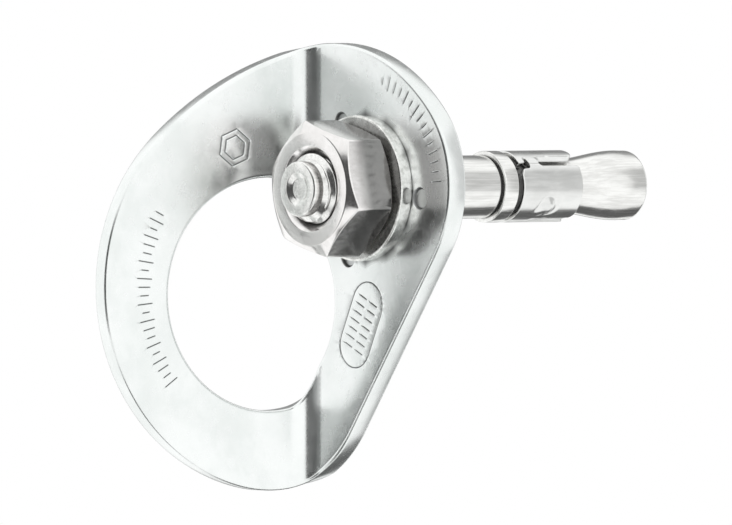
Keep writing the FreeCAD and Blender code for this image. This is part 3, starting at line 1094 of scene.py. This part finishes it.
    def build(self) -> bpy.types.Object:
        """Make the plate and dress it.

        Returns:
            The piece.
        """
        self.engrave()
        hole = circle(np.zeros(2), self.hole_radius, 96)
        loops = [self.outline(), self.eye(), Loop(hole, np.full(len(hole), self.hole_rim))]
        sheet = Sheet(loops, self.thickness, self.place, self.relief, self.painted_shade_and_dirt_at, clearance=0.3)
        low, high = np.array([-48.0, -45.0]), np.array([20.0, 22.0])
        coarse = lattice(low, high, (1.5, 1.7))
        margin = 0.8
        fold_low, fold_high = self.fold_end - margin, self.fold_start + margin
        coarse = coarse[(coarse[:, 0] < fold_low) | (coarse[:, 0] > fold_high)]
        fold = lattice((fold_low, low[1]), (fold_high, high[1]), (0.33, 0.8))
        back = np.concatenate([coarse, fold])
        rings = [
            circle(np.array(centre), self.dimple_radius * share, 40)
            for centre in self.dimples
            for share in self.dimple_rows
        ]
        marks = self.marking.points()
        near = np.sqrt(((back[:, None] - marks[None, ::4]) ** 2).sum(axis=2)).min(axis=1)
        calm = back[(near > 0.35) & (self._from_dimple(back) > 1.3)]
        surface = sheet.gather(np.concatenate([calm, marks, *rings]), back)
        piece = surface.make("hanger_plate", 35)
        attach(piece, Body.HANGER.value)
        fit(piece, self.finish, Slot.HANGER, "hanger")
        return piece


# ------------------------------------------------------------------ washer, nut and stud


@dataclass
class Fasteners:
    """The stud with its thread and cone, and the washer and nut on it."""

    sections: int = 180
    nut_sections: int = 288
    hole_radius: float = 5.25
    washer_radius: float = 10.15
    # Painted shade on the washer's front face.
    washer_face_painted_shade: float = 0.06
    across_flats: float = 17.0
    corner_power: float = 90.0
    nut_face_radius: float = 7.9
    nut_chamfer: float = math.tan(math.radians(30))
    nut_mouth: float = 6.0
    nut_bore: float = 4.2
    nut_groove: float = 5.04
    nut_relief: float = 5.1
    nut_turn: float = math.radians(16)
    tip: float = -15.4
    end: float = 44.6
    dog_radius: float = 3.85
    dog_length: float = 1.5
    lead_in: float = 1.0
    thread_end: float = 9.0
    run_out: float = 1.8
    # Painted shade in the nut's countersink and bore.
    countersink_painted_shade: float = 0.09
    bore_painted_shade: float = 0.12
    # Painted shade in the roots of the stud's thread.
    groove_start: float = 0.45
    groove_fade: float = 0.42
    thread_root_painted_shade: float = 0.5
    shank: float = 4.4
    neck: float = 3.7
    collar: tuple[float, float] = (18.3, 20.8)
    collar_radius: float = 5.0
    cone_start: float = 32.7
    cone_swell: tuple[tuple[float, float], ...] = ((3.7, 32.7), (4.12, 35.8), (4.68, 39.4), (4.85, 43.2))
    thread: Thread = Thread()
    washer_finish: SteelFinish = SteelFinish(
        name="stamped_stainless",
        light=(0.88, 0.88, 0.86),
        dark=(0.6, 0.6, 0.58),
        cloud=(1.3, 1.3, 1.3),
        streak=(0.5, 0.5, 0.5),
        streak_share=0.4,
        roughness=(0.16, 0.24),
        grain=0.18,
        grain_depth=0.002,
        speckle=0.06,
    )
    nut_finish: SteelFinish = SteelFinish(
        name="satin_stainless",
        light=(0.9, 0.88, 0.875),
        dark=(0.8, 0.78, 0.77),
        cloud=(3, 3, 3),
        streak=(0.5, 1.4, 0.5),
        streak_share=0.35,
        roughness=(0.11, 0.18),
        grain=0.1,
        grain_depth=0.0008,
        # Colour of the painted shade in the countersink and bore.
        painted_shade_and_dirt=(0.025, 0.024, 0.024),
        # A darker reflection painted on the nut, growing towards the washer.
        painted_reflection=(-11.9, -9.2, 0.7),
    )
    stud_finish: SteelFinish = SteelFinish(
        name="drawn_stainless",
        light=(0.9, 0.895, 0.88),
        dark=(0.72, 0.715, 0.7),
        cloud=(1.2, 5, 1.2),
        streak=(0.3, 8, 0.3),
        streak_share=0.5,
        roughness=(0.13, 0.22),
        grain=0.1,
        grain_depth=0.001,
        recess_depth=1.0,
    )

    def washer(self) -> bpy.types.Object:
        """Flat ring with a turned-over front edge."""
        low, high = reach("washer")
        inner, outer = self.hole_radius, self.washer_radius
        corners = np.array([[(inner, low[1]), (outer, low[1]), (outer, high[1]), (inner, high[1])]])
        path = rounded(corners, (0.12, 0.35, 0.15, 0.1))
        path = np.concatenate([path, path[:, :1]], axis=1)
        surface = Surface()
        # Painted shade on the front face, short of its rounded rim.
        front_face = (path[..., 1] < low[1] + 0.05) * (path[..., 0] < outer - 0.3)
        faced = self.washer_face_painted_shade * front_face
        surface.add_grid(turned(path, whole_turn(self.sections)), np.repeat(faced, self.sections + 1, axis=0))
        piece = surface.make("washer_ring", 40)
        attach(piece, Body.WASHER.value)
        fit(piece, self.washer_finish, Slot.WASHER, "washer")
        return piece

    def hexagon(self, angles: Array) -> Array:
        """Radius of the nut's side at each angle.

        It is half the width across flats over (sum of |cos(angle - face)|^p)^(1/p) for the three pairs of
        faces, which rounds the corners a little.
        """
        faces = self.nut_turn + math.radians(30) + np.arange(3) * math.radians(60)
        total = (np.abs(np.cos(angles[:, None] - faces)) ** self.corner_power).sum(axis=1)
        return self.across_flats / 2 / total ** (1 / self.corner_power)

    def nut(self) -> bpy.types.Object:
        """Hexagon nut: chamfered corners, a deep countersink in front and a threaded bore."""
        front, back = (corner[1] for corner in reach("hex_nut"))
        angles = whole_turn(self.nut_sections)
        side = self.hexagon(angles)
        drop = (side - self.nut_face_radius) * self.nut_chamfer
        sink = self.nut_mouth - self.nut_relief
        profile = (
            (self.nut_relief, front + sink),
            (self.nut_mouth, front),
            (self.nut_face_radius, front),
            (side, front + drop),
            (side, back - drop),
            (self.nut_face_radius, back),
            (self.nut_relief, back),
        )
        corners = np.array([[np.broadcast_to(v, side.shape) for v in corner] for corner in profile])
        path = rounded(corners.transpose(2, 0, 1), (0, 0.2, 0.5, 0.25, 0.3, 0.5, 0))
        # The sharp corners at both ends are repeated points: one of each is enough.
        repeats = path.shape[1] // len(profile) - 1
        path = path[:, repeats:-repeats]
        surface = Surface()
        # Painted shade, deeper into the countersink.
        sunk = eased((path[..., 1] - front - 0.1) / 0.6) * (path[..., 0] < self.nut_mouth)
        surface.add_grid(turned(path, angles), self.countersink_painted_shade * sunk)
        angle, y = self.thread.helical(front + sink, back, self.nut_sections)
        cones = np.maximum(self.nut_mouth + front - y, self.nut_relief + y - back)
        groove = self.thread.inside(angle, y, self.nut_bore, self.nut_groove)
        radius = np.maximum(np.maximum(groove, self.nut_bore), cones)
        bore = spun(radius, y, angle)
        # Painted shade all through the bore.
        surface.add_grid(bore[:, ::-1], np.full_like(radius, self.bore_painted_shade))
        piece = surface.make("nut_body", 28)
        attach(piece, Body.NUT.value)
        fit(piece, self.nut_finish, Slot.NUT, "hex_nut")
        return piece

    def cone(self, count: int = 14) -> list[tuple[float, float]]:
        """Swelling of the cone, as the cubic in y through its four sizes.

        Args:
            count: points along it.

        Returns:
            Points (radius, y).
        """
        radii, heights = np.array(self.cone_swell).T
        curve = np.polynomial.Polynomial.fit(heights, radii, 3)
        y = np.linspace(heights[0], heights[-1], count)
        return list(zip(curve(y), y))

    def _stud_thread(self, surface: Surface, low: float, high: float) -> None:
        """Add the threaded stretch: the lead-in slope cuts it in front, and it runs out into the shank.

        The radius is the smaller of the lead-in's and the thread's, mixed into the shank's over the run-out.
        """
        angle, y = self.thread.helical(low, high, self.sections)
        lead = self.dog_radius + (y - low) * (self.thread.crest - self.dog_radius) / self.lead_in
        cut = np.minimum(lead, self.thread.outside(angle, y))
        fade = eased((high - y) / self.run_out)
        radius = self.shank + (cut - self.shank) * fade
        # Painted shade in the thread's grooves, past the lead-in.
        groove = (self.thread.crest - self.groove_start - radius) / self.groove_fade
        painted_shade_and_dirt = np.clip(groove, 0, 1) * (y > low + self.lead_in) * self.thread_root_painted_shade
        surface.add_grid(spun(radius, y, angle), painted_shade_and_dirt)

    def stud(self) -> bpy.types.Object:
        """One bar: dog point with a centre dimple, thread, shank, collar, neck and cone."""
        angles = whole_turn(self.sections)
        thread_top = self.tip + self.dog_length
        high = self.thread_end + 0.4
        point = np.array([[
            (0, self.tip + 0.42), (1.5, self.tip + 0.42), (2.3, self.tip + 0.02), (2.7, self.tip),
            (self.dog_radius, self.tip), (self.dog_radius, thread_top), (0, thread_top),
        ]])
        front = rounded(point, (0, 0.8, 0.4, 0.3, 0.35, 0, 0))
        inner_corner = front.shape[1] // point.shape[1]
        surface = Surface()
        surface.add_grid(turned(front[:, :-inner_corner], angles))
        self._stud_thread(surface, thread_top, high)
        start, stop = self.collar
        r = self.collar_radius
        cone = self.cone()
        undercut = 4.1
        tail = [
            (self.shank, high),
            (self.shank, start - 0.42),
            (undercut, start - 0.36),
            (undercut, start),
            (r, start),
            (r, stop),
            (self.neck, stop),
            *cone,
            (cone[-1][0], self.end),
            (0, self.end),
            (0, high),
        ]
        radii = [0, 0.05, 0.05, 0.05, 0.25, 0.25, 0.3, 0.6, *([0] * (len(cone) - 1)), 1.3, 0, 0]
        steps = 6
        rest = rounded(np.array([tail], float), radii, steps)
        # The last corner closes the path inside the bar and is left out.
        rest = rest[:, steps:-steps - 1]
        radius, y = rest[..., 0], rest[..., 1]
        # Painted shadow on the undercut before the collar and on the neck.
        groove = 1.0 * (radius < self.shank - 0.1) * (y > start - 0.6) * (y < self.cone_start - 0.1)
        surface.add_grid(turned(rest, angles), np.repeat(groove, len(angles), axis=0))
        piece = surface.make("stud_bar", 40)
        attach(piece, Body.STUD.value)
        fit(piece, self.stud_finish, Slot.STUD, "stud")
        return piece


# ------------------------------------------------------------------ expansion clip


@dataclass
class ExpansionClip:
    """Strip rolled round the neck: a split sleeve with a tab in a notch, and three leaves between slots.

    It is laid out flat as (y, a): y runs along the stud and a round it, from the seam towards +Z.
    """

    start: float = 21.7
    end: float = 32.5
    root: float = 27.6
    outer: float = 5.0
    thickness: float = 1.15
    seam: float = 41.0
    slot_half: float = 0.42
    slot_start: float = 25.4
    edge: float = 0.13
    tip_edge: float = 0.18
    hairline: float = 0.05
    seam_gap: float = 0.02
    band_width: float = 1.45
    band_fade: float = 0.14
    band_depth: float = 0.1
    lug_height: float = 0.45
    moat_depth: float = 0.14
    leaf_cut: float = 1.25
    root_gap: float = 0.1
    bend: float = 1.6
    finish: SteelFinish = SteelFinish(
        name="rolled_stainless",
        light=(0.84, 0.84, 0.83),
        dark=(0.72, 0.72, 0.71),
        cloud=(3, 5, 3),
        streak=(0.4, 4, 0.4),
        streak_share=0.25,
        roughness=(0.17, 0.24),
        grain=0.1,
        grain_depth=0.0006,
    )

    def __post_init__(self) -> None:
        """Work out the strip's length round the stud and the share of one leaf."""
        self.round = FULL_TURN * self.outer
        self.sector = self.round / 3

    def place(self, flat: Array, depth: Array) -> Array:
        """Roll flat points up: the angle from +X towards +Z is the seam's + a / outer radius."""
        angle = math.radians(self.seam) + flat[:, 1] / self.outer
        radius = self.outer - depth
        return np.stack([radius * np.cos(angle), flat[:, 0], radius * np.sin(angle)], axis=1)

    def relief(self, flat: Array) -> Array:
        """Depth below the outer face: a pressed band beside each slot, and one raised lug.

        The lug is a drop whose height grows from its tail to its head, with a shallow moat round it; t is the
        distance from its middle line over its half width.
        """
        y, a = flat[:, 0], flat[:, 1]
        across = eased((self.band_width - a % self.sector) / self.band_fade)
        along = eased((y - self.slot_start + 0.1) / 0.25)
        deep = self.band_depth * across * along
        head = np.array([26.6, self.round + math.radians(-34 - self.seam) * self.outer])
        tail = head - np.array([1.7, 1.75])
        way = head - tail
        share = np.clip(((flat - tail) @ way) / (way @ way), 0, 1)
        gap = np.linalg.norm(flat - tail - share[:, None] * way, axis=1)
        t = gap / (0.5 + 0.8 * share)
        moat = self.moat_depth * eased(1 - np.abs(t - 1.2) / 0.4)
        return deep + eased(share) * (moat - self.lug_height * eased((1.05 - t) / 0.65))

    def painted_shade_and_dirt_at(self, flat: Array) -> Array:
        """The clip's outer face is clean."""
        return np.zeros(len(flat))

    def _seam_edge(self) -> tuple[Array, Array]:
        """Both edges of the seam in the sleeve, from the front end to the slot.

        Returns:
            The upper edge with its tab, and the lower edge with its notch, as (y, a) with a from the seam.
        """
        front = self.start
        upper = np.array([
            (front, 1.7),
            (front + 0.05, 0.1),
            (front + 1.2, 0.1),
            (front + 1.2, 1.15),
            (front + 1.75, 1.15),
            (front + 1.95, 0.0),
        ])
        lower = np.array([(front + 1.95, 0.0), (front + 1.8, -0.75), (front + 0.5, -0.85), (front, -1.9)])
        return upper, lower

    def _slot_corners(self, centre: float) -> tuple[Array, Array]:
        """The blind end of a slot in the sleeve, below and above its middle."""
        low, high = centre - self.slot_half, centre + self.slot_half
        below = np.array([(self.root, low), (self.slot_start + 0.45, low)])
        above = np.array([(self.slot_start + 0.1, high), (self.root, high)])
        return below, above

    def _sleeve_loop(self) -> Loop:
        """Edge of the flat sleeve, with the material on the left."""
        upper, lower = self._seam_edge()
        corner = rounded(upper[None], (0, 0.35, 0.4, 0.25, 0.3, 0), 4)[0][4:]
        parts = [(corner[:-5], self.edge), (upper[-1], self.hairline), ((self.slot_start, 0.0), self.edge)]
        for k in range(3):
            centre = self.sector * k
            if k:
                below, _ = self._slot_corners(centre)
                parts += [(below, self.edge), ((self.slot_start, centre), self.edge)]
            _, above = self._slot_corners(centre)
            parts += [(above[0], self.edge), (above[1], 0.0)]
        below, _ = self._slot_corners(self.round)
        last = self.round - self.seam_gap
        parts += [(below, self.edge), ((self.slot_start, last), self.hairline)]
        notch = rounded(lower[None] + (0, last), (0, 0.5, 0.5, 0), 4)[0]
        parts += [(notch[4:-4], self.edge)]
        return joined([(np.array(p, float), r) for p, r in parts]).divided(0.25)

    def _leaf_loop(self, k: int) -> Loop:
        """Edge of one flat leaf: straight at its root, with a corner cut off its tip."""
        low = self.sector * k + self.slot_half
        high = self.sector * (k + 1) - self.slot_half
        cut = self.leaf_cut
        parts = [
            ((self.root, low), self.edge),
            ((self.end - 1.7, low), self.edge),
            ((self.end - 0.25, low + cut), self.tip_edge),
            ((self.end, low + cut + 0.6), self.tip_edge),
            ((self.end, high - 0.35), self.edge),
            ((self.end - 0.35, high), self.edge),
            ((self.root, high), 0.0),
        ]
        return joined([(np.array(p, float), r) for p, r in parts]).divided(0.25)

    def _points(self, low: float, high: float) -> Array:
        """Flat points for the faces, denser along the edge of each pressed band."""
        even = lattice((low, -1), (high, self.round + 1), (0.3, 0.22))
        slope = self.band_width - self.band_fade / 2
        offsets = slope + np.array([-0.09, -0.04, 0, 0.04, 0.09])
        rows = [self.sector * k + offset for k in range(4) for offset in offsets]
        lines = [lattice((low, a), (high, a + 0.01), (0.3, 0.05)) for a in rows]
        clear = np.abs(even[:, 1] % self.sector - slope) > 0.15
        return np.concatenate([even[clear], *lines])

    def _sheet(self, loop: Loop) -> Sheet:
        """The sheet that a loop bounds."""
        return Sheet([loop], self.thickness, self.place, self.relief, self.painted_shade_and_dirt_at, clearance=0.14)

    def build(self) -> list[bpy.types.Object]:
        """Make the sleeve and its three leaves.

        Returns:
            The four pieces.
        """
        points = self._points(self.start - 0.5, self.root - self.root_gap)
        sleeve = self._sheet(self._sleeve_loop()).gather(points, points).make("clip_band", 40)
        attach(sleeve, Body.CLIP.value)
        fit(sleeve, self.finish, Slot.CLIP, "clip_sleeve")
        pieces = [sleeve]
        points = self._points(self.root + self.root_gap, self.end)
        for k in range(3):
            name = f"leaf_{k + 1}"
            leaf = self._sheet(self._leaf_loop(k)).gather(points, points).make(f"clip_spring_{name}", 40)
            bend_end = (0, (self.root + self.bend) * MM, 0)
            self.root * MM
            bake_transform(leaf)
            fit(leaf, self.finish, Slot.CLIP, f"clip_{name}")
            pieces.append(leaf)
        return pieces


# ------------------------------------------------------------------ studio


@dataclass(frozen=True)
class Shade:
    """A soft-edged patch of the studio's walls, between two bearings and two heights."""

    bearing: float
    half_width: float
    low: float
    high: float
    level: float
    soft: float = 8.0


@dataclass
class Studio:
    """White tent, pale floor, overhead light and camera.

    Distances are in metres, and the aim is in millimetres to the right and up. The camera's sensor is
    sensor millimetres wide and sees seen_width millimetres at its target.
    """

    bearing: float = 50.0
    elevation: float = 1.0
    distance: float = 3.0
    seen_width: float = 101.667
    sensor: float = 36.0
    sight: tuple[float, float] = (0.5, 50.0)
    aim: tuple[float, float] = (-2.28, -10.35)
    floor_drop: float = 0.14
    floor_half: float = 1.6
    floor_glow: float = 0.25
    overhead_place: tuple[float, float, float] = (0.3, 0.2, 1.8)
    overhead_size: float = 2.4
    overhead_power: float = 30.0
    brightness: float = 1.12
    tint: Colour = (0.99, 1.0, 0.995)
    shades: tuple[Shade, ...] = (
        Shade(bearing=-6, half_width=32, low=-16, high=27, level=0.08, soft=3),
        Shade(bearing=148, half_width=16, low=-8, high=34, level=0.6, soft=8),
        Shade(bearing=206, half_width=33, low=-72, high=-36, level=0.12, soft=7),
        Shade(bearing=10, half_width=22, low=-72, high=-40, level=0.1, soft=6),
        Shade(bearing=226, half_width=24, low=-12, high=34, level=0.25, soft=10),
    )

    def camera(self) -> None:
        """Make the camera and aim it, with the lens that gives the wanted scale at its target."""
        azimuth, rise = math.radians(self.bearing), math.radians(self.elevation)
        right = Vector((math.cos(azimuth), math.sin(azimuth), 0))
        towards = Vector((math.sin(azimuth), -math.cos(azimuth), 0))
        back = towards * math.cos(rise) + Vector((0, 0, math.sin(rise)))
        up = back.cross(right)
        target = (right * self.aim[0] + up * self.aim[1]) * MM
        data = bpy.data.cameras.new("camera")
        data.sensor_width = self.sensor
        data.lens = self.sensor * self.distance / (self.seen_width * MM)
        data.clip_start, data.clip_end = self.sight
        camera = put_in_scene("camera", data)
        camera.location = target + back * self.distance
        camera.rotation_euler = (-back).to_track_quat("-Z", "Y").to_euler()
        bpy.context.scene.camera = camera

    def tent(self) -> None:
        """White world with soft grey patches that only reflections see; the camera sees plain white."""
        world = bpy.data.worlds.new("studio")
        world.use_nodes = True
        bpy.context.scene.world = world
        graph = Graph(world.node_tree)
        way = graph.node("ShaderNodeTexCoord").outputs["Generated"]
        split = graph.node("ShaderNodeSeparateXYZ", {}, {0: way})
        x, y, z = (Varying(graph, split.outputs[i]) for i in range(3))
        flat = (x * x + y * y).root()
        light: Varying | float = self.brightness
        for shade in self.shades:
            towards = math.radians(shade.bearing)
            facing = (x * math.sin(towards) - y * math.cos(towards)) / flat
            wide = math.cos(math.radians(shade.half_width + shade.soft))
            narrow = math.cos(math.radians(shade.half_width))
            low, high = (math.sin(math.radians(v)) for v in (shade.low, shade.high))
            margin = math.sin(math.radians(shade.soft))
            mask = facing.band(wide, narrow) * z.band(low - margin, low) * z.band(high + margin, high)
            light = light * (1 - mask * (1 - shade.level))
        tint = graph.node("ShaderNodeCombineColor", {}, {i: light * t for i, t in enumerate(self.tint)})
        seen = graph.node("ShaderNodeLightPath").outputs["Is Camera Ray"]
        walls = graph.node("ShaderNodeBackground", {}, {"Color": tint.outputs[0], "Strength": 1.0})
        plain = graph.node("ShaderNodeBackground", {}, {"Color": (1, 1, 1, 1), "Strength": 1.0})
        both = graph.node("ShaderNodeMixShader", {}, {0: seen, 1: walls.outputs[0], 2: plain.outputs[0]})
        graph.node("ShaderNodeOutputWorld", {}, {"Surface": both.outputs[0]})

    def floor(self) -> None:
        """Large pale floor, well below the anchor."""
        line = np.linspace(-self.floor_half, self.floor_half, 25)
        x, y = np.meshgrid(line, line, indexing="ij")
        mesh = bpy.data.meshes.new("floor")
        points = np.stack([x, y, np.full_like(x, -self.floor_drop)], axis=2).reshape(-1, 3)
        mesh.from_pydata(points, [], grid_faces(*x.shape))
        material, graph = new_material("pale_floor")
        coordinates = graph.node("ShaderNodeTexCoord").outputs["Object"]
        tone = graph.noise(coordinates, (400, 400, 400), 1)
        colour = graph.mixed(tone, (0.93, 0.93, 0.93), (0.96, 0.96, 0.96))
        shader = graph.node("ShaderNodeBsdfPrincipled", {}, {
            "Base Color": colour,
            "Roughness": 0.9,
            "Emission Color": (1, 1, 1, 1),
            "Emission Strength": self.floor_glow,
        })
        graph.node("ShaderNodeOutputMaterial", {}, {"Surface": shader.outputs[0]})
        mesh.materials.append(material)
        floor = put_in_scene("floor", mesh)
        floor.visible_glossy = False

    def lights(self) -> None:
        """Soft light from above that keeps the floor white."""
        data = bpy.data.lights.new("overhead", "AREA")
        data.shape = "SQUARE"
        data.size = self.overhead_size
        data.energy = self.overhead_power
        light = put_in_scene("overhead", data)
        light.location = self.overhead_place
        light.visible_camera = False
        light.visible_glossy = False

    def build(self) -> None:
        """Set up the whole studio."""
        self.camera()
        self.tent()
        self.floor()
        self.lights()
        bpy.context.scene.view_settings.view_transform = "Standard"


def main() -> None:
    """Build the anchor's pieces in order."""
    logging.basicConfig(level=logging.INFO, format="%(name)s: %(message)s")
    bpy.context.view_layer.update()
    Studio().build()
    HangerPlate().build()
    fasteners = Fasteners()
    fasteners.washer()
    fasteners.nut()
    fasteners.stud()
    ExpansionClip().build()


if __name__ == "__main__":
    main()
